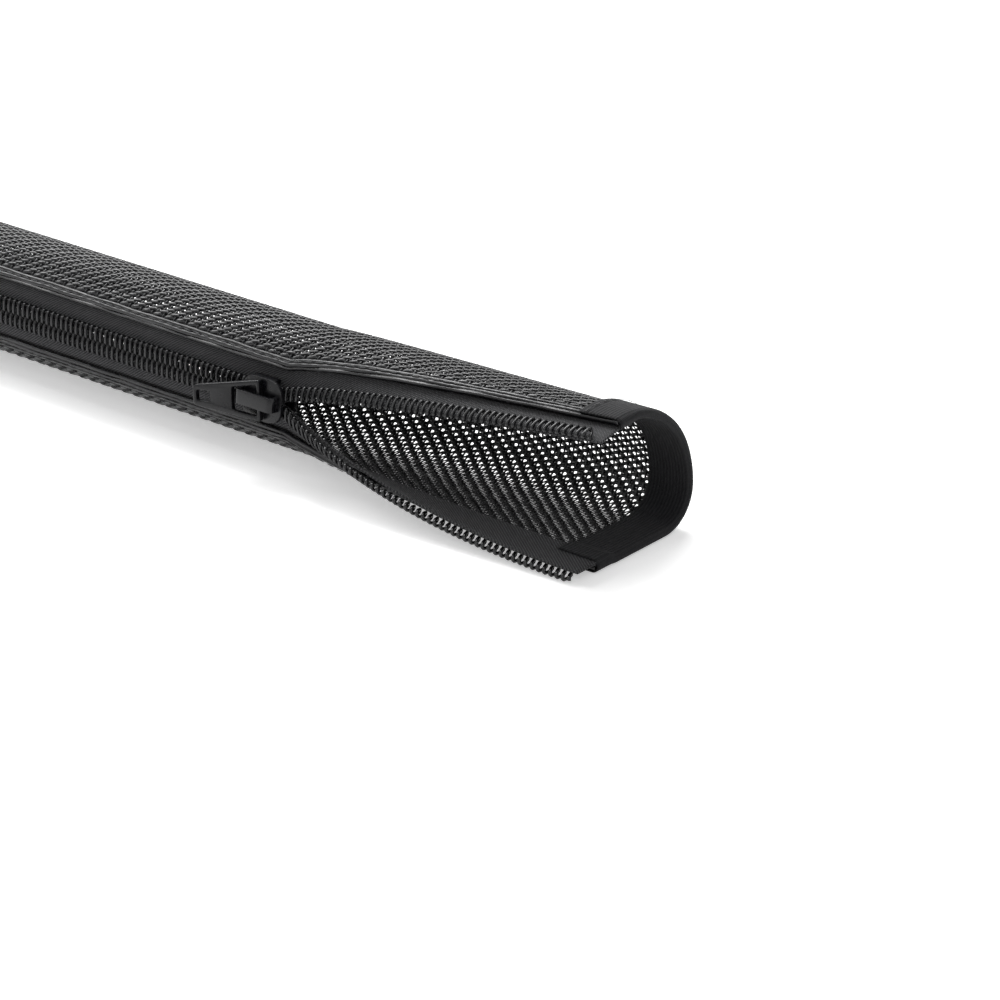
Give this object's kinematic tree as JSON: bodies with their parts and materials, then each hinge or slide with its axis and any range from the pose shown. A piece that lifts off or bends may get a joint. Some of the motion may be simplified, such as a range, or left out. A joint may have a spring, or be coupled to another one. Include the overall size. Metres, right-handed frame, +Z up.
{
  "type": "zippered cable sleeve",
  "caption": "Woven mesh tube that closes round a bundle of leads with a coil zip, shown with its mouth laid open and the slider part way along.",
  "frame": {"origin": "on the floor under the middle of the sleeve's bounding box", "axes": "+X along the sleeve towards its open mouth, +Z up, the zip faces -Y"},
  "size_m": [0.5, 0.0482, 0.0364],
  "materials": {
    "mesh": "glossy black woven monofilament",
    "zip_tape": "dull fine twill",
    "zip_coil": "glossy nylon",
    "thread": "polyester sewing thread",
    "binding": "dull ribbed ribbon",
    "slider": "black satin paint",
    "spring": "plain spring steel"
  },
  "bodies": {
    "sleeve": {"mesh_panel": "mesh", "zip_tape_upper": "zip_tape", "zip_tape_lower": "zip_tape", "zip_coil_upper": "zip_coil", "zip_coil_lower": "zip_coil", "hem_thread_upper": "thread", "hem_thread_lower": "thread", "end_tack": "thread", "mouth_binding": "binding", "far_binding": "binding"},
    "slider": {"slider_body": "slider", "slider_crown": "slider", "lock_spring": "spring"},
    "tab": {"pull_tab": "slider"}
  },
  "joints": [
    {"name": "slider_slide", "type": "slide", "parent": "sleeve", "child": "slider", "axis": [1, 0, 0], "range_m": [-0.374, 0], "deforming": ["zip_coil_upper", "zip_coil_lower"]},
    {"name": "tab_hinge", "type": "hinge", "parent": "slider", "child": "tab", "pos_m": [0.1522, -0.0196, 0.01952], "axis": [-0.1305, 0.1243, 0.9836], "range_deg": [-8, 140]}
  ]
}
